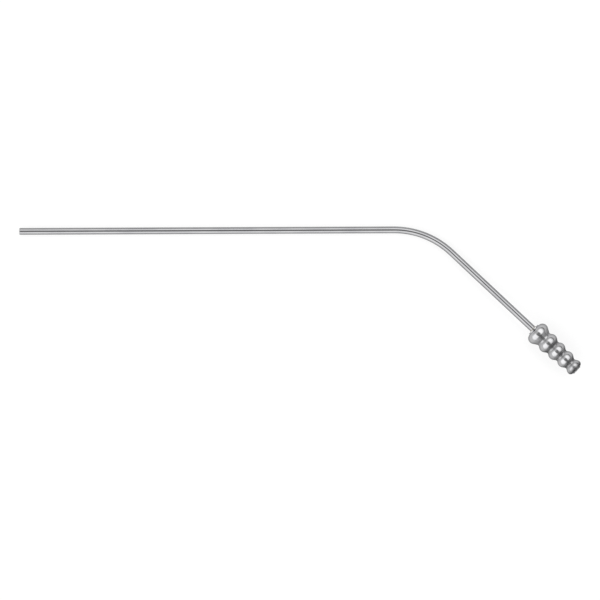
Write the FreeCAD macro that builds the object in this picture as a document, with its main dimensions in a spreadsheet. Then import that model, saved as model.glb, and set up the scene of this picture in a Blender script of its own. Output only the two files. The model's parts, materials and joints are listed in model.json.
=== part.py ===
# Suction tube: a thin drawn tube with one bend, soldered into a turned connector for the suction hose.
# Millimetres and degrees. The shaft runs along +X from its tip, and the leg after the bend turns toward -Y.
import FreeCAD, Part
import math
import os

import Sketcher
from FreeCAD import Placement, Rotation, Vector

SIZES = {
    # drawn tube, from the tip to the socket of the connector
    "tube_od": 3.0,
    "tube_wall": 0.3,
    "straight_run": 167.0,
    "bend_radius": 37.0,
    "bend_angle": 43.6,
    "leg_run": 50.0,
    "tip_bevel": 0.12,
    "tip_deburr": 0.05,
    # turned connector: a nose, a collar, rings that grow smaller toward the hose end, and a tail
    "nose_length": 0.45,
    "collar_od": 10.6,
    "collar_round": 2.5,
    "collar_flank": 26.0,
    "collar_pitch": 6.1,
    "ring_od": 9.45,
    "ring_od_drop": 0.7,
    "ring_pitch": 5.25,
    "ring_round": 1.5,
    "ring_flank": 25.0,
    "groove_round": 0.5,
    "tail_length": 0.4,
    "edge_bevel": 0.12,
    # bore of the connector
    "socket_depth": 12.0,
    "solder_gap": 0.03,
    "lumen_step": 0.1,
    "outlet_bevel": 0.15,
    # ring of solder at the mouth of the socket
    "solder_leg": 0.35,
}
RING_COUNT = 4

# Ends of a sketch element, and the two axes of a sketch
START, END, CENTRE = range(1, 4)
H_AXIS, V_AXIS = range(-1, -3, -1)
NORMAL = Vector(0, 0, 1)

# Lengths that several pieces share, worked out from the sheet
CONNECTOR_LENGTH = (
    "(Sizes.nose_length + Sizes.collar_round + Sizes.collar_pitch"
    f" + {RING_COUNT - 1} * Sizes.ring_pitch + Sizes.ring_round + Sizes.tail_length)"
)
NOSE_RADIUS = "(Sizes.collar_od / 2 - Sizes.collar_round)"
SOCKET_RADIUS = "(Sizes.tube_od / 2 + Sizes.solder_gap)"
OUTLET_RADIUS = "(Sizes.tube_od / 2 - Sizes.tube_wall + Sizes.lumen_step)"


def make_sheet(doc):
    """The driving dimensions, one row each: name, then value under the same alias."""
    sheet = doc.addObject("Spreadsheet::Sheet", "Sizes")
    for row, (alias, value) in enumerate(SIZES.items(), start=1):
        sheet.set(f"A{row}", alias)
        sheet.set(f"B{row}", str(value))
        sheet.setAlias(f"B{row}", alias)
    doc.recompute()


def new_sketch(body, name, plane_role):
    """An empty sketch on one of the body's own origin planes."""
    sketch = body.newObject("Sketcher::SketchObject", name)
    plane = next(item for item in body.Origin.OriginFeatures if item.Role == plane_role)
    sketch.AttachmentSupport = [(plane, "")]
    sketch.MapMode = "FlatFace"
    return sketch


def fix(sketch, kind, *references):
    """A geometric constraint, such as a tangent or a point on an axis."""
    sketch.addConstraint(Sketcher.Constraint(kind, *references))


def measure(sketch, name, expression, kind, *references):
    """A named dimension of the sketch that follows the sheet."""
    index = sketch.addConstraint(Sketcher.Constraint(kind, *references))
    sketch.renameConstraint(index, name)
    sketch.setExpression(f"Constraints.{name}", expression)


def line(sketch, start, end):
    return sketch.addGeometry(Part.LineSegment(Vector(*start, 0), Vector(*end, 0)))


def arc(sketch, centre, radius, from_angle, to_angle):
    """An arc that runs anticlockwise, with its angles in radians."""
    circle = Part.Circle(Vector(*centre, 0), NORMAL, radius)
    return sketch.addGeometry(Part.ArcOfCircle(circle, from_angle, to_angle))


def circular_edge(shape, centre, radius):
    """Name of the full circle on the shape with this centre and radius."""
    for number, edge in enumerate(shape.Edges, start=1):
        curve = edge.Curve
        if not isinstance(curve, Part.Circle):
            continue
        if curve.Center.isEqual(centre, 1e-6) and abs(curve.Radius - radius) < 1e-6:
            return f"Edge{number}"
    raise ValueError(f"no circle of radius {radius} at {centre}")


def revolve(body, kind, name, sketch):
    """A full turn of the sketch about its horizontal axis, which adds or cuts."""
    feature = body.newObject(kind, name)
    feature.Profile = sketch
    feature.ReferenceAxis = (sketch, ["H_Axis"])
    feature.Angle = 360
    return feature


# Frames: how the instrument lies on the floor, and where the connector starts
def make_frames(doc):
    rest = doc.addObject("Part::LocalCoordinateSystem", "rest_frame")
    nose = doc.addObject("Part::LocalCoordinateSystem", "nose_frame")
    bend = "Sizes.bend_radius * sin(Sizes.bend_angle)"
    drop = "Sizes.bend_radius * (1 - cos(Sizes.bend_angle))"
    along = f"Sizes.straight_run + {bend} + Sizes.leg_run * cos(Sizes.bend_angle)"
    across = f"-({drop} + Sizes.leg_run * sin(Sizes.bend_angle))"
    nose.setExpression(
        "Placement", f"placement(vector({along}; {across}; 0); rotationz(-Sizes.bend_angle))"
    )
    return rest


# Drawn tube: an annular section swept along straight shaft, bend and leg
def draw_route(body):
    """Centreline from the tip to the seat in the connector's socket."""
    route = new_sketch(body, "route", "XY_Plane")
    run = SIZES["straight_run"]
    radius = SIZES["bend_radius"]
    angle = math.radians(SIZES["bend_angle"])
    leg = SIZES["leg_run"] + SIZES["socket_depth"]
    bend_end = (run + radius * math.sin(angle), -radius * (1 - math.cos(angle)))
    seat = (bend_end[0] + leg * math.cos(angle), bend_end[1] - leg * math.sin(angle))
    shaft = line(route, (0, 0), (run, 0))
    bend = arc(route, (run, -radius), radius, math.pi / 2 - angle, math.pi / 2)
    tail = line(route, bend_end, seat)
    fix(route, "Coincident", shaft, START, H_AXIS, START)
    fix(route, "Horizontal", shaft)
    fix(route, "Tangent", shaft, END, bend, END)
    fix(route, "Tangent", bend, START, tail, START)
    measure(route, "shaft_length", "Sizes.straight_run", "Distance", shaft, run)
    measure(route, "bend_radius", "Sizes.bend_radius", "Radius", bend, radius)
    measure(route, "bend_angle", "Sizes.bend_angle * 1 deg", "Angle", bend, angle)
    measure(route, "leg_length", "Sizes.leg_run + Sizes.socket_depth", "Distance", tail, leg)
    return route


def draw_section(body):
    """Outside and lumen of the tube."""
    section = new_sketch(body, "section", "YZ_Plane")
    outside = SIZES["tube_od"] / 2
    inside = outside - SIZES["tube_wall"]
    for name, radius, expression in (
        ("outside", outside, "Sizes.tube_od / 2"),
        ("lumen", inside, "Sizes.tube_od / 2 - Sizes.tube_wall"),
    ):
        circle = section.addGeometry(Part.Circle(Vector(0, 0, 0), NORMAL, radius))
        fix(section, "Coincident", circle, CENTRE, H_AXIS, START)
        measure(section, name, expression, "Radius", circle, radius)
    return section


def make_cannula(doc):
    body = doc.addObject("PartDesign::Body", "cannula_tube")
    tube = body.newObject("PartDesign::AdditivePipe", "drawn_tube")
    tube.Profile = draw_section(body)
    tube.Spine = draw_route(body)
    body.Tip = tube
    doc.recompute()
    outside = SIZES["tube_od"] / 2
    inside = outside - SIZES["tube_wall"]
    base = tube
    for name, radius in (("tip_bevel", outside), ("tip_deburr", inside)):
        bevel = body.newObject("PartDesign::Chamfer", name)
        bevel.Base = (base, [circular_edge(base.Shape, Vector(0, 0, 0), radius)])
        bevel.setExpression("Size", f"Sizes.{name}")
        doc.recompute()
        base = bevel
    body.setExpression("Placement", "rest_frame.Placement")
    return body


# Turned connector: round crests, straight flanks and round grooves, each tangent to the next
def crest_circles():
    """Circle of the collar and of each ring: its centre, its radius and the slope of its flanks."""
    collar_round = SIZES["collar_round"]
    ring_round = SIZES["ring_round"]
    x = SIZES["nose_length"] + collar_round
    height = SIZES["collar_od"] / 2 - collar_round
    crests = [{"x": x, "y": height, "round": collar_round, "flank": "collar_flank"}]
    for number in range(RING_COUNT):
        x += SIZES["ring_pitch"] if number else SIZES["collar_pitch"]
        height = (SIZES["ring_od"] - number * SIZES["ring_od_drop"]) / 2 - ring_round
        crests.append({"x": x, "y": height, "round": ring_round, "flank": "ring_flank"})
    return crests


def connector_length():
    last = crest_circles()[-1]
    return last["x"] + last["round"] + SIZES["tail_length"]


def slope(crest):
    return math.radians(SIZES[crest["flank"]])


def groove_centre(left, right, radius):
    """Centre of the arc that touches the falling flank on its left and the rising one on its right."""
    fall = slope(left)
    rise = slope(right)
    reach_left = left["round"] + radius
    reach_right = right["round"] + radius
    across = right["x"] - left["x"] - reach_left * math.sin(fall) - reach_right * math.sin(rise)
    down = left["y"] - right["y"] + reach_left * math.cos(fall) - reach_right * math.cos(rise)
    flank = (across * math.sin(rise) + down * math.cos(rise)) / math.sin(fall + rise)
    return (
        left["x"] + reach_left * math.sin(fall) + flank * math.cos(fall),
        left["y"] + reach_left * math.cos(fall) - flank * math.sin(fall),
    )


def on_circle(centre, radius, angle):
    return (centre[0] + radius * math.cos(angle), centre[1] + radius * math.sin(angle))


def draw_nose(sketch, crest):
    """Flat nose face, its bevel, and the short nose that runs into the front of the collar."""
    bevel = SIZES["edge_bevel"]
    length = SIZES["nose_length"]
    radius = crest["y"]
    face = line(sketch, (0, 0), (0, radius - bevel))
    edge = line(sketch, (0, radius - bevel), (bevel, radius))
    nose = line(sketch, (bevel, radius), (length, radius))
    fix(sketch, "Coincident", face, START, H_AXIS, START)
    fix(sketch, "Vertical", face)
    fix(sketch, "Coincident", face, END, edge, START)
    fix(sketch, "Coincident", edge, END, nose, START)
    fix(sketch, "Horizontal", nose)
    measure(sketch, "nose_radius", NOSE_RADIUS, "DistanceY", H_AXIS, START, nose, END, radius)
    measure(sketch, "nose_length", "Sizes.nose_length", "DistanceX", H_AXIS, START, nose, END, length)
    measure(sketch, "nose_bevel_x", "Sizes.edge_bevel", "DistanceX", edge, START, edge, END, bevel)
    measure(sketch, "nose_bevel_y", "Sizes.edge_bevel", "DistanceY", edge, START, edge, END, bevel)
    return face, nose


def draw_tail(sketch, crest):
    """Short tail behind the last ring, its bevel, and the flat end face."""
    bevel = SIZES["edge_bevel"]
    start = crest["x"] + crest["round"]
    end = start + SIZES["tail_length"]
    radius = crest["y"]
    tail = line(sketch, (start, radius), (end - bevel, radius))
    edge = line(sketch, (end - bevel, radius), (end, radius - bevel))
    face = line(sketch, (end, radius - bevel), (end, 0))
    fix(sketch, "Horizontal", tail)
    fix(sketch, "Coincident", tail, END, edge, START)
    fix(sketch, "Coincident", edge, END, face, START)
    fix(sketch, "Vertical", face)
    fix(sketch, "PointOnObject", face, END, H_AXIS)
    measure(
        sketch, "tail_length", "Sizes.tail_length", "DistanceX",
        tail, START, edge, END, SIZES["tail_length"],
    )
    measure(sketch, "tail_bevel_x", "Sizes.edge_bevel", "DistanceX", edge, START, edge, END, bevel)
    measure(sketch, "tail_bevel_y", "Sizes.edge_bevel", "DistanceY", edge, END, edge, START, bevel)
    return tail, face


def draw_crests(sketch, crests):
    """Arcs of the collar and the rings, each sized and placed from the sheet."""
    drawn = []
    for number, crest in enumerate(crests):
        left = math.pi / 2 + slope(crest) if number else math.pi
        right = math.pi / 2 - slope(crest) if crest is not crests[-1] else 0.0
        bump = arc(sketch, (crest["x"], crest["y"]), crest["round"], right, left)
        drawn.append(bump)
        if number == 0:
            measure(sketch, "collar_round", "Sizes.collar_round", "Radius", bump, crest["round"])
            continue
        measure(sketch, f"ring_{number}_round", "Sizes.ring_round", "Radius", bump, crest["round"])
        pitch = "Sizes.collar_pitch" if number == 1 else "Sizes.ring_pitch"
        measure(
            sketch, f"ring_{number}_place", pitch, "DistanceX",
            drawn[number - 1], CENTRE, bump, CENTRE, crest["x"] - crests[number - 1]["x"],
        )
        height = f"(Sizes.ring_od - {number - 1} * Sizes.ring_od_drop) / 2 - Sizes.ring_round"
        measure(
            sketch, f"ring_{number}_height", height, "DistanceY",
            H_AXIS, START, bump, CENTRE, crest["y"],
        )
    return drawn


def draw_groove(sketch, number, left, right, bumps):
    """Falling flank, hollow arc and rising flank between two crests."""
    radius = SIZES["groove_round"]
    centre = groove_centre(left, right, radius)
    top_left = math.pi / 2 - slope(left)
    top_right = math.pi / 2 + slope(right)
    low_left = on_circle(centre, radius, top_left + math.pi)
    low_right = on_circle(centre, radius, top_right + math.pi)
    fall = line(sketch, on_circle((left["x"], left["y"]), left["round"], top_left), low_left)
    hollow = arc(sketch, centre, radius, top_left + math.pi, top_right + math.pi)
    rise = line(sketch, low_right, on_circle((right["x"], right["y"]), right["round"], top_right))
    fix(sketch, "Tangent", bumps[number], START, fall, START)
    fix(sketch, "Tangent", fall, END, hollow, START)
    fix(sketch, "Tangent", hollow, END, rise, START)
    fix(sketch, "Tangent", rise, END, bumps[number + 1], END)
    measure(sketch, f"groove_{number}_round", "Sizes.groove_round", "Radius", hollow, radius)
    measure(sketch, f"fall_{number}", f"-Sizes.{left['flank']} * 1 deg", "Angle", fall, -slope(left))
    measure(sketch, f"rise_{number}", f"Sizes.{right['flank']} * 1 deg", "Angle", rise, slope(right))


def draw_outline(body):
    """Half section of the connector's outside, from the nose face to the hose end."""
    sketch = new_sketch(body, "outline", "XY_Plane")
    crests = crest_circles()
    face, nose = draw_nose(sketch, crests[0])
    bumps = draw_crests(sketch, crests)
    fix(sketch, "Coincident", nose, END, bumps[0], END)
    fix(sketch, "Horizontal", bumps[0], END, bumps[0], CENTRE)
    for number, (left, right) in enumerate(zip(crests, crests[1:])):
        draw_groove(sketch, number, left, right, bumps)
    tail, end_face = draw_tail(sketch, crests[-1])
    axis = line(sketch, (connector_length(), 0), (0, 0))
    fix(sketch, "Coincident", bumps[-1], START, tail, START)
    fix(sketch, "Horizontal", bumps[-1], START, bumps[-1], CENTRE)
    fix(sketch, "Coincident", end_face, END, axis, START)
    fix(sketch, "Coincident", axis, END, face, START)
    return sketch


def draw_bore(body):
    """Half section of the bore: socket for the tube, its seat, and the outlet with a small bevel."""
    sketch = new_sketch(body, "stepped_bore", "XY_Plane")
    socket = SIZES["tube_od"] / 2 + SIZES["solder_gap"]
    outlet = SIZES["tube_od"] / 2 - SIZES["tube_wall"] + SIZES["lumen_step"]
    bevel = SIZES["outlet_bevel"]
    seat = SIZES["socket_depth"]
    length = connector_length()
    corners = [
        (0, 0),
        (0, socket),
        (seat, socket),
        (seat, outlet),
        (length - bevel, outlet),
        (length, outlet + bevel),
        (length, 0),
    ]
    sides = [line(sketch, a, b) for a, b in zip(corners, corners[1:] + corners[:1])]
    mouth, wall, step, drilling, flare, end_face, axis = sides
    for side, following in zip(sides, sides[1:] + sides[:1]):
        fix(sketch, "Coincident", side, END, following, START)
    fix(sketch, "Coincident", mouth, START, H_AXIS, START)
    for upright in (mouth, step, end_face):
        fix(sketch, "Vertical", upright)
    for level in (wall, drilling, axis):
        fix(sketch, "Horizontal", level)
    origin = (H_AXIS, START)
    measure(sketch, "socket_radius", SOCKET_RADIUS, "DistanceY", *origin, mouth, END, socket)
    measure(sketch, "seat_place", "Sizes.socket_depth", "DistanceX", *origin, wall, END, seat)
    measure(sketch, "outlet_radius", OUTLET_RADIUS, "DistanceY", *origin, step, END, outlet)
    measure(sketch, "bore_length", CONNECTOR_LENGTH, "DistanceX", *origin, flare, END, length)
    measure(sketch, "flare_x", "Sizes.outlet_bevel", "DistanceX", flare, START, flare, END, bevel)
    measure(sketch, "flare_y", "Sizes.outlet_bevel", "DistanceY", flare, START, flare, END, bevel)
    return sketch


def make_connector(doc):
    body = doc.addObject("PartDesign::Body", "hose_connector")
    revolve(body, "PartDesign::Revolution", "turned_outside", draw_outline(body))
    doc.recompute()
    revolve(body, "PartDesign::Groove", "drilled_bore", draw_bore(body))
    body.setExpression("Placement", "rest_frame.Placement * nose_frame.Placement")
    return body


# Solder: a small ring in the corner between the tube and the nose face
def draw_fillet(body):
    sketch = new_sketch(body, "solder_fillet", "XY_Plane")
    tube = SIZES["tube_od"] / 2
    leg = SIZES["solder_leg"]
    on_tube = line(sketch, (0, tube), (-leg, tube))
    outside = line(sketch, (-leg, tube), (0, tube + leg))
    on_face = line(sketch, (0, tube + leg), (0, tube))
    fix(sketch, "PointOnObject", on_tube, START, V_AXIS)
    fix(sketch, "Horizontal", on_tube)
    fix(sketch, "Vertical", on_face)
    fix(sketch, "Coincident", on_tube, END, outside, START)
    fix(sketch, "Coincident", outside, END, on_face, START)
    fix(sketch, "Coincident", on_face, END, on_tube, START)
    measure(
        sketch, "tube_radius", "Sizes.tube_od / 2", "DistanceY", H_AXIS, START, on_tube, START, tube
    )
    measure(sketch, "leg_on_tube", "Sizes.solder_leg", "Distance", on_tube, leg)
    measure(sketch, "leg_on_face", "Sizes.solder_leg", "Distance", on_face, leg)
    return sketch


def make_seam(doc):
    body = doc.addObject("PartDesign::Body", "solder_seam")
    revolve(body, "PartDesign::Revolution", "solder_ring", draw_fillet(body))
    body.setExpression("Placement", "rest_frame.Placement * nose_frame.Placement")
    return body


# Rest: the shaft lies along the floor, and the leg leans up until the connector touches the floor
def touching_tilt(along_leg, crest_radius, crest_round):
    """Tilt about the shaft, in radians, at which a ring at this place on the leg touches the floor."""
    angle = math.radians(SIZES["bend_angle"])
    drop = SIZES["bend_radius"] * (1 - math.cos(angle)) + along_leg * math.sin(angle)
    shaft = SIZES["tube_od"] / 2 - crest_round
    ring = crest_radius - crest_round
    lean = ring * math.sin(angle)
    root = (shaft * drop) ** 2 - (drop**2 + lean**2) * (shaft**2 - ring**2)
    return math.asin((math.sqrt(root) - shaft * drop) / (drop**2 + lean**2))


def resting_tilt():
    """Tilt at which the first part of the connector touches the floor."""
    leg = SIZES["leg_run"]
    return max(
        touching_tilt(leg + crest["x"], crest["y"] + crest["round"], crest["round"])
        for crest in crest_circles()
    )


def lay_down(doc, rest, pieces):
    """Tilt the instrument to its rest, then centre its footprint on the origin and set it on the floor."""
    turn = Rotation(Vector(1, 0, 0), -math.degrees(resting_tilt()))
    height = SIZES["tube_od"] / 2
    rest.Placement = Placement(Vector(0, 0, height), turn)
    doc.recompute()
    footprint = FreeCAD.BoundBox()
    for piece in pieces:
        footprint.add(piece.Shape.optimalBoundingBox(False, False))
    middle = footprint.Center
    rest.Placement = Placement(Vector(-middle.x, -middle.y, height), turn)
    doc.recompute()


def check(doc, pieces):
    for item in doc.Objects:
        if "Invalid" in item.State or "Error" in item.State:
            raise RuntimeError(f"{item.Name} failed: {item.State}")
    for piece in pieces:
        shape = piece.Shape
        if shape.isNull() or not shape.isValid() or len(shape.Solids) != 1:
            raise RuntimeError(f"{piece.Label} is not one valid solid")


def main():
    doc = FreeCAD.newDocument("SuctionTube")
    make_sheet(doc)
    rest = make_frames(doc)
    pieces = [make_cannula(doc), make_connector(doc), make_seam(doc)]
    doc.recompute()
    check(doc, pieces)
    lay_down(doc, rest, pieces)
    check(doc, pieces)
    os.makedirs("parts", exist_ok=True)
    for piece in pieces:
        piece.Shape.exportStep(f"parts/{piece.Label}.step")


main()
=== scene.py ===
import json
import math

import bpy
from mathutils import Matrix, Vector


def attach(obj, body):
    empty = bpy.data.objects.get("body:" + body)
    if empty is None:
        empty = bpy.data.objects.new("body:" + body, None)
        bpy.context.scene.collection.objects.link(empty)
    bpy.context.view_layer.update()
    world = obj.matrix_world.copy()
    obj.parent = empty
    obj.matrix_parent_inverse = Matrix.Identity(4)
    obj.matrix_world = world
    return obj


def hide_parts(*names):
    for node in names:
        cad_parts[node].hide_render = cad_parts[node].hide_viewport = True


MM = 0.001
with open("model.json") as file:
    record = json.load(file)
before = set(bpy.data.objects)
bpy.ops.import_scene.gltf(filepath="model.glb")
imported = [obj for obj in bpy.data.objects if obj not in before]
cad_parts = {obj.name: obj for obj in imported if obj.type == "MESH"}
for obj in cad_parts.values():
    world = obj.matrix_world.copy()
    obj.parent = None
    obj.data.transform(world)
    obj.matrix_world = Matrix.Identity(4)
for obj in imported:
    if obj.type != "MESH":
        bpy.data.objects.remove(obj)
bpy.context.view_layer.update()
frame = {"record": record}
mounts = {mount["name"]: mount for mount in frame["record"]["mounts"]}

# Where the instrument lies, read from the frame
TIP = Vector(mounts["tip_lumen"]["pos_m"])
SHAFT_WAY = -Vector(mounts["tip_lumen"]["axis"]).normalized()
HOSE_END = Vector(mounts["hose_end"]["pos_m"])
LEG_WAY = Vector(mounts["hose_end"]["axis"]).normalized()

# Drawn tube
TUBE_RADIUS = 1.5 * MM
LUMEN_RADIUS = 1.2 * MM
BEND_RADIUS = 37.0 * MM
TIP_ROUND = 0.12 * MM
TIP_DEBURR = 0.05 * MM

# Turned connector, from the nose face to the hose end, with the slopes of its flanks in degrees
NOSE_LENGTH = 0.45 * MM
COLLAR_RADIUS = 5.3 * MM
COLLAR_ROUND = 2.5 * MM
COLLAR_FLANK = 31.0
COLLAR_PITCH = 6.1 * MM
RING_COUNT = 4
RING_RADIUS = 4.7 * MM
RING_DROP = 0.345 * MM
RING_PITCH = 5.25 * MM
RING_ROUND = 2.5 * MM
RING_FLANK = 35.0
GROOVE_ROUND = 1.0 * MM
END_ROUND = 1.5 * MM
TAIL_LENGTH = 0.4 * MM
EDGE_ROUND = 0.12 * MM
SOCKET_DEPTH = 12.0 * MM
SOCKET_RADIUS = 1.53 * MM
OUTLET_RADIUS = 1.3 * MM
OUTLET_BEVEL = 0.15 * MM
CONNECTOR_LENGTH = (
    NOSE_LENGTH + COLLAR_ROUND + COLLAR_PITCH + (RING_COUNT - 1) * RING_PITCH + END_ROUND + TAIL_LENGTH
)

# Painted shade in the grooves: how far it reaches along the connector, and where it lies on the last ring
GROOVE_SHADE_REACH = 1.15 * MM
GROOVE_SHADE_PAST_CREST = 0.6 * END_ROUND

# Solder at the mouth of the socket, and the radius of its hollow
SOLDER_LEG = 0.35 * MM
SOLDER_HOLLOW = 1.6 * SOLDER_LEG

# Fineness of the meshes: points round each piece, steps of the arcs and the bend, and a row near the tip
TUBE_SIDES = 96
CONNECTOR_SIDES = 160
SEAM_SIDES = 128
ARC_STEP = math.radians(4.0)
ARC_FEWEST_STEPS = 3
BEND_STEP = math.radians(1.0)
TIP_ROW = 2.0 * MM
# Edges past this angle stay sharp
SHARP_ANGLE = math.radians(35)

# Metals: grain and scratch are scales of noise along and round a piece, and relief is the grain's depth
DRAWN_STEEL = {
    "colour": (0.36, 0.36, 0.365),
    "dull_colour": (0.29, 0.29, 0.30),
    "grain": (0.35, 9.0, 9.0),
    "scratch": (0.6, 14.0, 14.0),
    "roughness": 0.10,
    "relief": 2e-6,
}
TURNED_STEEL = {
    "colour": (0.49, 0.49, 0.495),
    "dull_colour": (0.41, 0.41, 0.42),
    "grain": (14.0, 0.5, 0.5),
    "scratch": (3.0, 2.2, 2.2),
    "roughness": 0.09,
    "relief": 3e-6,
}
HARD_SOLDER = {
    "colour": (0.60, 0.57, 0.50),
    "dull_colour": (0.42, 0.39, 0.33),
    "grain": (9.0, 7.0, 7.0),
    "scratch": (5.0, 5.0, 5.0),
    "roughness": 0.28,
    "relief": 6e-6,
}

# Share of the light that the metals keep at a glancing angle
EDGE_TINT = 0.4
# Grain: how much of the dull colour it takes on, how far it changes the roughness, and its relief
GRAIN_SHARE = 0.55
GRAIN_ROUGHNESS = (0.7, 1.3)
RELIEF_STRENGTH = 0.5
# Smears from handling, and how much rougher they leave the metal
SMEAR_SCALE = (0.11, 0.5, 0.5)
SMEAR_ROUGHNESS = 0.08
# Painted groove shade and bore: share of the dull colour, and roughness. The painted shade thins where the
# smears are low.
SHADE_TINT = 0.05
SHADE_ROUGHNESS = 0.6
SHADE_THINNEST = 0.6
BORE_TINT = 0.55
BORE_ROUGHNESS = 0.5
# Stretch of each noise, between 0 and 1, over which its effect grows from least to most
GRAIN_DULLS = (0.3, 0.8)
GRAIN_ROUGHENS = (0.3, 0.7)
SMEAR_DULLS = (0.35, 0.75)
SMEAR_ROUGHENS = (0.4, 0.8)
SMEAR_THINS_SHADE = (0.2, 0.8)
SCRATCH_CUTS = (0.66, 0.72)
SCRATCH_DEPTH = 1.0

# Floor: evenness is the share of plain white in it, and the rest takes light and shadow
FLOOR_HALF = 3.0
FLOOR_TONES = ((0.95, 0.95, 0.95), (0.97, 0.97, 0.97))
FLOOR_GRAIN = 900.0
FLOOR_EVENNESS = 0.8

# Light of the room, with angles in degrees: two long soft strips with bright cores, and a dim gap between
GAP_HEADING = -43.3
GAP_MIDDLE = 2.0
GAP_EDGES = (12.0, 26.0)
GAP_END = (-36.0, -6.0)
GAP_LIGHT = 0.32
GAP_END_LIGHT = 0.85
STRIP_MIDDLE = 10.0
STRIP_EDGES = (70.0, 88.0)
STRIP_FAR_END = (-72.0, -50.0)
STRIP_NEAR_END = (44.0, 62.0)
STRIP_LIGHT = 1.15
CORE_EDGES = (56.0, 76.0)
CORE_END = (-56.0, -30.0)
CORE_LIGHT = 0.9
ROOM_LIGHT = 0.25
ROOM_SHARE_AT_FAR_END = 0.5
NEAR_END_LIGHT = 0.15
# Backdrop: white up to a little above the horizon, with its edges as heights on a unit sphere
HORIZON_EDGES = (0.09, 0.16)
# Strength of the backdrop and of the floor's even part
WHITE_LIGHT = 1.0

# Camera: straight above, a little off the middle, turned as the photograph is
CAMERA_PLACE = Vector((0.130 * MM, 0.469 * MM, 1488.5 * MM))
CAMERA_ROLL = math.radians(0.235)
CAMERA_LENS = 200.0
CAMERA_SENSOR = 36.0
CAMERA_REACH = 20.0


# Outlines: points (distance along the axis, radius) in order round a piece's section
def arc_points(centre, radius, start, end):
    """Points on an arc in the plane of the section, with its angles in degrees."""
    start, end = math.radians(start), math.radians(end)
    count = max(ARC_FEWEST_STEPS, math.ceil(abs(end - start) / ARC_STEP))
    return [
        (
            centre[0] + radius * math.cos(start + (end - start) * step / count),
            centre[1] + radius * math.sin(start + (end - start) * step / count),
        )
        for step in range(count + 1)
    ]


def groove_centre(left, right):
    """Centre of the arc that touches the falling flank on its left and the rising one on its right."""
    fall, rise = math.radians(left["flank"]), math.radians(right["flank"])
    reach_left = left["round"] + GROOVE_ROUND
    reach_right = right["round"] + GROOVE_ROUND
    across = right["x"] - left["x"] - reach_left * math.sin(fall) - reach_right * math.sin(rise)
    down = left["y"] - right["y"] + reach_left * math.cos(fall) - reach_right * math.cos(rise)
    flank = (across * math.sin(rise) + down * math.cos(rise)) / math.sin(fall + rise)
    return (
        left["x"] + reach_left * math.sin(fall) + flank * math.cos(fall),
        left["y"] + reach_left * math.cos(fall) - flank * math.sin(fall),
    )


def crests():
    """Centre and radius of the arc over the collar and over each ring, and the slope of their flanks."""
    x = NOSE_LENGTH + COLLAR_ROUND
    found = [{"x": x, "y": COLLAR_RADIUS - COLLAR_ROUND, "round": COLLAR_ROUND, "flank": COLLAR_FLANK}]
    for number in range(RING_COUNT):
        x += RING_PITCH if number else COLLAR_PITCH
        height = RING_RADIUS - number * RING_DROP - RING_ROUND
        found.append({"x": x, "y": height, "round": RING_ROUND, "flank": RING_FLANK})
    return found


def connector_outline():
    """From the nose face over collar, rings and tail to the hose end, and back through the bore."""
    bumps = crests()
    nose = bumps[0]["y"]
    last = bumps[-1]
    end = CONNECTOR_LENGTH
    tail = last["y"] + last["round"] - END_ROUND
    points = [(0.0, SOCKET_RADIUS)]
    points += arc_points((EDGE_ROUND, nose - EDGE_ROUND), EDGE_ROUND, 180, 90)
    left = 180
    for bump, following in zip(bumps, bumps[1:]):
        points += arc_points((bump["x"], bump["y"]), bump["round"], left, 90 - bump["flank"])
        centre = groove_centre(bump, following)
        points += arc_points(centre, GROOVE_ROUND, 270 - bump["flank"], 270 + following["flank"])
        left = 90 + following["flank"]
    points += arc_points((last["x"], last["y"]), last["round"], left, 90)
    # the first point is left out, because the arc before ends there
    points += arc_points((last["x"], tail), END_ROUND, 90, 0)[1:]
    points += arc_points((end - EDGE_ROUND, tail - EDGE_ROUND), EDGE_ROUND, 90, 0)
    points += [(end, OUTLET_RADIUS + OUTLET_BEVEL), (end - OUTLET_BEVEL, OUTLET_RADIUS)]
    points += [(SOCKET_DEPTH, OUTLET_RADIUS), (SOCKET_DEPTH, SOCKET_RADIUS)]
    return points


def tube_outline(length, bend_start, bend_length):
    """Up the lumen from the seat to the tip, over the rounded rim, and back down the outside."""
    stations = [length, bend_start + bend_length]
    steps = math.ceil(bend_length / BEND_RADIUS / BEND_STEP)
    stations += [bend_start + bend_length * step / steps for step in range(steps - 1, -1, -1)]
    stations += [bend_start / 2, TIP_ROW]
    points = [(station, LUMEN_RADIUS) for station in stations]
    points += arc_points((TIP_DEBURR, LUMEN_RADIUS + TIP_DEBURR), TIP_DEBURR, 270, 180)
    points += arc_points((TIP_ROUND, TUBE_RADIUS - TIP_ROUND), TIP_ROUND, 180, 90)
    points += [(station, TUBE_RADIUS) for station in reversed(stations)]
    return points


def seam_outline():
    """Concave solder fillet between the tube, on its left, and the nose face, on its right."""
    half = SOLDER_LEG / math.sqrt(2)
    back = math.sqrt(SOLDER_HOLLOW**2 - half**2) - half
    centre = (-SOLDER_LEG - back / math.sqrt(2), TUBE_RADIUS + SOLDER_LEG + back / math.sqrt(2))
    turn = math.degrees(math.asin(half / SOLDER_HOLLOW))
    return arc_points(centre, SOLDER_HOLLOW, 315 - turn, 315 + turn) + [(0.0, TUBE_RADIUS)]


# Painted shade: how much shade is painted on the surface at a distance along the piece and a radius. This
# one paints none.
def unshaded(distance, radius):
    return 0.0


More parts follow.
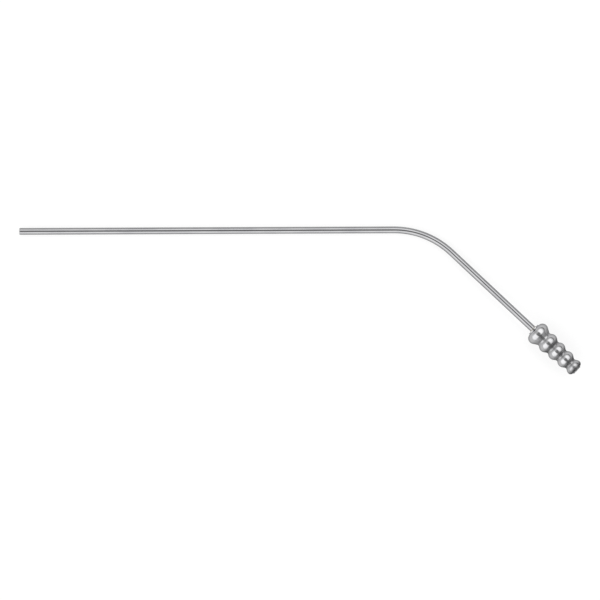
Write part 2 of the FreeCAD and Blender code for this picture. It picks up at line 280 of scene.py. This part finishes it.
def hose_side_painted_shade():
    """Painted shade on the side of each groove that faces the hose, and on the end round."""
    bumps = crests()
    places = []
    for bump, following in zip(bumps, bumps[1:]):
        bottom = groove_centre(bump, following)[0]
        shoulder = bump["x"] + bump["round"] * math.sin(math.radians(bump["flank"]))
        places.append((bottom + shoulder) / 2)
    places.append(bumps[-1]["x"] + GROOVE_SHADE_PAST_CREST)

    # Painted shade: how strongly the groove darkening lies here, 0 in the bore
    def painted_shade(distance, radius):
        if radius <= SOCKET_RADIUS:
            return 0.0
        return max(math.exp(-(((distance - place) / GROOVE_SHADE_REACH) ** 2)) for place in places)

    return painted_shade


# Meshes: an outline carried round a centreline
def straight_line(origin, way):
    """The axis of the connector, from its nose."""

    def place(distance):
        return origin + way * distance, way

    return place


def bent_line(bend_start, angle):
    """Shaft, bend and leg of the tube, from the tip."""
    inward = (LEG_WAY - SHAFT_WAY * LEG_WAY.dot(SHAFT_WAY)).normalized()
    start = TIP + SHAFT_WAY * bend_start
    middle = start + inward * BEND_RADIUS

    def place(distance):
        if distance <= bend_start:
            return TIP + SHAFT_WAY * distance, SHAFT_WAY
        turned = min((distance - bend_start) / BEND_RADIUS, angle)
        way = SHAFT_WAY * math.cos(turned) + inward * math.sin(turned)
        out = SHAFT_WAY * math.sin(turned) - inward * math.cos(turned)
        beyond = distance - bend_start - angle * BEND_RADIUS
        return middle + out * BEND_RADIUS + way * max(0.0, beyond), way

    return place


def closed_skin(name, outline, place, sides, bore_radius, painted_shade):
    """A closed surface whose section is the outline, carried round the centreline.
    The point attribute lathe holds distance and radius in millimetres, bore is 1 in the bore,
    and painted_shade is how much shade is painted on the surface."""
    normal = SHAFT_WAY.cross(LEG_WAY).normalized()
    points, lathe, bore, shade_values = [], [], [], []
    for distance, radius in outline:
        centre, way = place(distance)
        side = normal.cross(way)
        for number in range(sides):
            angle = 2 * math.pi * number / sides
            out = side * math.cos(angle) + normal * math.sin(angle)
            points.append(centre + out * radius)
            lathe += [distance / MM, radius / MM * math.cos(angle), radius / MM * math.sin(angle)]
            bore.append(1.0 if radius <= bore_radius else 0.0)
            shade_values.append(painted_shade(distance, radius))
    faces = []
    for row in range(len(outline)):
        here = row * sides
        below = (row + 1) % len(outline) * sides
        for number in range(sides):
            beside = (number + 1) % sides
            faces.append((here + number, here + beside, below + beside, below + number))
    mesh = bpy.data.meshes.new(name)
    mesh.from_pydata(points, [], faces)
    mesh.attributes.new("lathe", "FLOAT_VECTOR", "POINT").data.foreach_set("vector", lathe)
    mesh.attributes.new("bore", "FLOAT", "POINT").data.foreach_set("value", bore)
    mesh.attributes.new("painted_shade", "FLOAT", "POINT").data.foreach_set("value", shade_values)
    mesh.shade_smooth()
    mesh.set_sharp_from_angle(angle=SHARP_ANGLE)
    mesh.validate()
    piece = bpy.data.objects.new(name, mesh)
    bpy.context.scene.collection.objects.link(piece)
    return piece


# Nodes
def node(tree, kind, inputs=None, **settings):
    """A new node, with its settings and with its inputs linked or set."""
    made = tree.nodes.new(kind)
    for key, value in settings.items():
        setattr(made, key, value)
    for key, value in (inputs or {}).items():
        if isinstance(value, bpy.types.NodeSocket):
            tree.links.new(value, made.inputs[key])
        else:
            made.inputs[key].default_value = value
    return made


def maths(tree, operation, *values):
    return node(tree, "ShaderNodeMath", dict(enumerate(values)), operation=operation).outputs[0]


def dot(tree, vector, way):
    return node(tree, "ShaderNodeVectorMath", {0: vector, 1: way}, operation="DOT_PRODUCT").outputs["Value"]


def remap(tree, value, edges, levels, interpolation="LINEAR"):
    """From one level to the other while the value goes from one edge to the other."""
    made = node(
        tree,
        "ShaderNodeMapRange",
        {
            "Value": value,
            "From Min": edges[0],
            "From Max": edges[1],
            "To Min": levels[0],
            "To Max": levels[1],
        },
        interpolation_type=interpolation,
    )
    return made.outputs["Result"]


def eased(tree, value, edges, levels):
    return remap(tree, value, edges, levels, "SMOOTHSTEP")


def mixed(tree, factor, first, second):
    made = node(tree, "ShaderNodeMix", {"Factor": factor, "A": first, "B": second}, data_type="FLOAT")
    return made.outputs["Result"]


def mixed_colour(tree, factor, first, second):
    made = node(tree, "ShaderNodeMix", {"Factor": factor}, data_type="RGBA")
    colours = [socket for socket in made.inputs if socket.type == "RGBA"]
    for socket, value in zip(colours, (first, second)):
        if isinstance(value, bpy.types.NodeSocket):
            tree.links.new(value, socket)
        else:
            socket.default_value = (*value, 1.0)
    return next(socket for socket in made.outputs if socket.type == "RGBA")


def stretched_noise(tree, scale, detail, roughness):
    """Noise on the lathe coordinates, with its own scale along the piece and round it."""
    lathe = node(tree, "ShaderNodeAttribute", attribute_name="lathe").outputs["Vector"]
    scaled = node(tree, "ShaderNodeVectorMath", {0: lathe, 1: scale}, operation="MULTIPLY").outputs[0]
    noise = node(
        tree,
        "ShaderNodeTexNoise",
        {"Vector": scaled, "Scale": 1.0, "Detail": detail, "Roughness": roughness},
    )
    return noise.outputs["Fac"]


# Materials
def new_material(name):
    material = bpy.data.materials.new(name)
    material.use_nodes = True
    material.node_tree.nodes.clear()
    return material, material.node_tree


def times(share, values):
    return tuple(share * value for value in values)


def polished_metal(name, colour, dull_colour, grain, scratch, roughness, relief):
    """Polished metal with grain, hairline scratches, faint smears, painted shade in the grooves and a
    darker, rougher bore.
    """
    material, tree = new_material(name)
    lines = stretched_noise(tree, grain, detail=4.0, roughness=0.7)
    hairs = stretched_noise(tree, scratch, detail=2.0, roughness=0.5)
    smears = stretched_noise(tree, SMEAR_SCALE, detail=2.0, roughness=0.5)
    bore = node(tree, "ShaderNodeAttribute", attribute_name="bore").outputs["Fac"]
    painted_shade = node(tree, "ShaderNodeAttribute", attribute_name="painted_shade").outputs["Fac"]
    # Painted shade mask: dark in the grooves, thinner where the smears are low
    patchy_shade = maths(tree, "MULTIPLY", painted_shade, remap(tree, smears, SMEAR_THINS_SHADE, (SHADE_THINNEST, 1.0)))

    worn = mixed_colour(tree, remap(tree, smears, SMEAR_DULLS, (0.0, 1.0)), colour, dull_colour)
    grained = mixed_colour(tree, remap(tree, lines, GRAIN_DULLS, (0.0, GRAIN_SHARE)), worn, dull_colour)
    # Painted shade: the masked grooves take a near-black share of the dull colour
    shaded = mixed_colour(tree, patchy_shade, grained, times(SHADE_TINT, dull_colour))
    bored = mixed_colour(tree, bore, shaded, times(BORE_TINT, dull_colour))

    grain_rough = remap(tree, lines, GRAIN_ROUGHENS, times(roughness, GRAIN_ROUGHNESS))
    smear_rough = remap(tree, smears, SMEAR_ROUGHENS, (0.0, SMEAR_ROUGHNESS))
    rough = maths(tree, "ADD", grain_rough, smear_rough)
    rough_shaded = mixed(tree, patchy_shade, rough, SHADE_ROUGHNESS)
    rough_bore = mixed(tree, bore, rough_shaded, BORE_ROUGHNESS)

    cut = remap(tree, hairs, SCRATCH_CUTS, (0.0, -SCRATCH_DEPTH))
    height = maths(tree, "ADD", lines, cut)
    bump = node(
        tree, "ShaderNodeBump", {"Height": height, "Strength": RELIEF_STRENGTH, "Distance": relief}
    )
    shader = node(
        tree,
        "ShaderNodeBsdfPrincipled",
        {
            "Base Color": bored,
            "Metallic": 1.0,
            "Roughness": rough_bore,
            "Specular Tint": (EDGE_TINT, EDGE_TINT, EDGE_TINT, 1.0),
            "Normal": bump.outputs["Normal"],
        },
    )
    node(tree, "ShaderNodeOutputMaterial", {"Surface": shader.outputs[0]})
    return material


def floor_material():
    """White floor with a faint grain that keeps the instrument's shadow."""
    material, tree = new_material("studio_floor")
    place = node(tree, "ShaderNodeTexCoord").outputs["Object"]
    grain = node(tree, "ShaderNodeTexNoise", {"Vector": place, "Scale": FLOOR_GRAIN, "Detail": 2.0})
    tone = mixed_colour(tree, grain.outputs["Fac"], *FLOOR_TONES)
    surface = node(tree, "ShaderNodeBsdfDiffuse", {"Color": tone})
    even = node(tree, "ShaderNodeEmission", {"Color": (1.0, 1.0, 1.0, 1.0), "Strength": WHITE_LIGHT})
    path = node(tree, "ShaderNodeLightPath")
    seen = maths(tree, "MAXIMUM", path.outputs["Is Camera Ray"], path.outputs["Is Glossy Ray"])
    seen = maths(tree, "MAXIMUM", seen, path.outputs["Is Transmission Ray"])
    share = maths(tree, "MULTIPLY", seen, FLOOR_EVENNESS)
    both = node(tree, "ShaderNodeMixShader", {0: share, 1: surface.outputs[0], 2: even.outputs[0]})
    node(tree, "ShaderNodeOutputMaterial", {"Surface": both.outputs[0]})
    return material


# Studio
def build_floor():
    mesh = bpy.data.meshes.new("studio_floor")
    corners = [(-1, -1), (1, -1), (1, 1), (-1, 1)]
    mesh.from_pydata([(x * FLOOR_HALF, y * FLOOR_HALF, 0) for x, y in corners], [], [(0, 1, 2, 3)])
    mesh.materials.append(floor_material())
    floor = bpy.data.objects.new("studio_floor", mesh)
    bpy.context.scene.collection.objects.link(floor)


def build_world():
    """Light by direction: how far round the leg from overhead, and how far along it toward the hose end.
    It changes softly between the two values of each EDGES and END."""
    world = bpy.data.worlds.new("studio")
    world.use_nodes = True
    tree = world.node_tree
    tree.nodes.clear()
    direction = node(tree, "ShaderNodeTexCoord").outputs["Generated"]
    height = node(tree, "ShaderNodeSeparateXYZ", {0: direction}).outputs["Z"]
    turn = math.radians(GAP_HEADING)
    along = dot(tree, direction, (math.cos(turn), math.sin(turn), 0.0))
    across = dot(tree, direction, (math.sin(turn), -math.cos(turn), 0.0))
    round_leg = maths(tree, "DEGREES", maths(tree, "ARCTAN2", across, height))
    along_leg = maths(tree, "DEGREES", maths(tree, "ARCSINE", along))
    from_gap = maths(tree, "ABSOLUTE", maths(tree, "SUBTRACT", round_leg, GAP_MIDDLE))
    from_middle = maths(tree, "ABSOLUTE", maths(tree, "SUBTRACT", round_leg, STRIP_MIDDLE))

    gap = eased(tree, along_leg, GAP_END, (GAP_END_LIGHT, GAP_LIGHT))
    core = maths(
        tree,
        "MULTIPLY",
        eased(tree, from_middle, CORE_EDGES, (CORE_LIGHT, 0.0)),
        eased(tree, along_leg, CORE_END, (0.0, 1.0)),
    )
    strips = maths(tree, "ADD", eased(tree, from_middle, STRIP_EDGES, (STRIP_LIGHT, ROOM_LIGHT)), core)
    light = mixed(tree, eased(tree, from_gap, GAP_EDGES, (0.0, 1.0)), gap, strips)
    far_end = eased(tree, along_leg, STRIP_FAR_END, (ROOM_SHARE_AT_FAR_END, 0.0))
    light = mixed(tree, far_end, light, ROOM_LIGHT)
    near_end = eased(tree, along_leg, STRIP_NEAR_END, (0.0, 1.0))
    light = mixed(tree, near_end, light, NEAR_END_LIGHT)
    backdrop = eased(tree, height, HORIZON_EDGES, (1.0, 0.0))
    light = mixed(tree, backdrop, light, WHITE_LIGHT)
    background = node(tree, "ShaderNodeBackground", {"Color": (1.0, 1.0, 1.0, 1.0), "Strength": light})
    node(tree, "ShaderNodeOutputWorld", {"Surface": background.outputs[0]})
    bpy.context.scene.world = world


def build_camera():
    camera = bpy.data.cameras.new("camera")
    camera.lens = CAMERA_LENS
    camera.sensor_width = CAMERA_SENSOR
    camera.clip_end = CAMERA_REACH
    holder = bpy.data.objects.new("camera", camera)
    bpy.context.scene.collection.objects.link(holder)
    holder.location = CAMERA_PLACE
    holder.rotation_euler = (0.0, 0.0, -CAMERA_ROLL)
    bpy.context.scene.camera = holder


# Pieces
def tube_run():
    """The bend's angle, and the distances from the tip to the bend and to the tube's end in its socket."""
    angle = SHAFT_WAY.angle(LEG_WAY)
    span = HOSE_END - TIP
    # from the crossing of the axes of shaft and leg to the hose end
    along_leg = (span - SHAFT_WAY * span.dot(SHAFT_WAY)).length / math.sin(angle)
    corner = span.dot(SHAFT_WAY) - along_leg * math.cos(angle)
    tangent = BEND_RADIUS * math.tan(angle / 2)
    bend_start = corner - tangent
    whole_run = bend_start + BEND_RADIUS * angle + along_leg - tangent
    return angle, bend_start, whole_run - (CONNECTOR_LENGTH - SOCKET_DEPTH)


def dress(piece, material, node_name):
    piece.data.materials.append(material)
    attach(piece, "root")
    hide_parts(node_name)


def build_tube():
    angle, bend_start, seat = tube_run()
    outline = tube_outline(seat, bend_start, BEND_RADIUS * angle)
    tube = closed_skin(
        "steel_tube", outline, bent_line(bend_start, angle), TUBE_SIDES, LUMEN_RADIUS, unshaded
    )
    dress(tube, polished_metal("drawn_steel", **DRAWN_STEEL), "cannula_tube")


def build_connector(axis):
    # The connector's grooves and end round get painted shade on their hose side
    connector = closed_skin(
        "ringed_connector", connector_outline(), axis, CONNECTOR_SIDES, SOCKET_RADIUS, hose_side_painted_shade()
    )
    dress(connector, polished_metal("turned_steel", **TURNED_STEEL), "hose_connector")


def build_seam(axis):
    seam = closed_skin("solder_ring", seam_outline(), axis, SEAM_SIDES, 0.0, unshaded)
    dress(seam, polished_metal("hard_solder", **HARD_SOLDER), "solder_seam")


connector_axis = straight_line(HOSE_END - LEG_WAY * CONNECTOR_LENGTH, LEG_WAY)
build_tube()
build_connector(connector_axis)
build_seam(connector_axis)
build_floor()
build_world()
build_camera()
bpy.context.scene.view_settings.view_transform = "Standard"
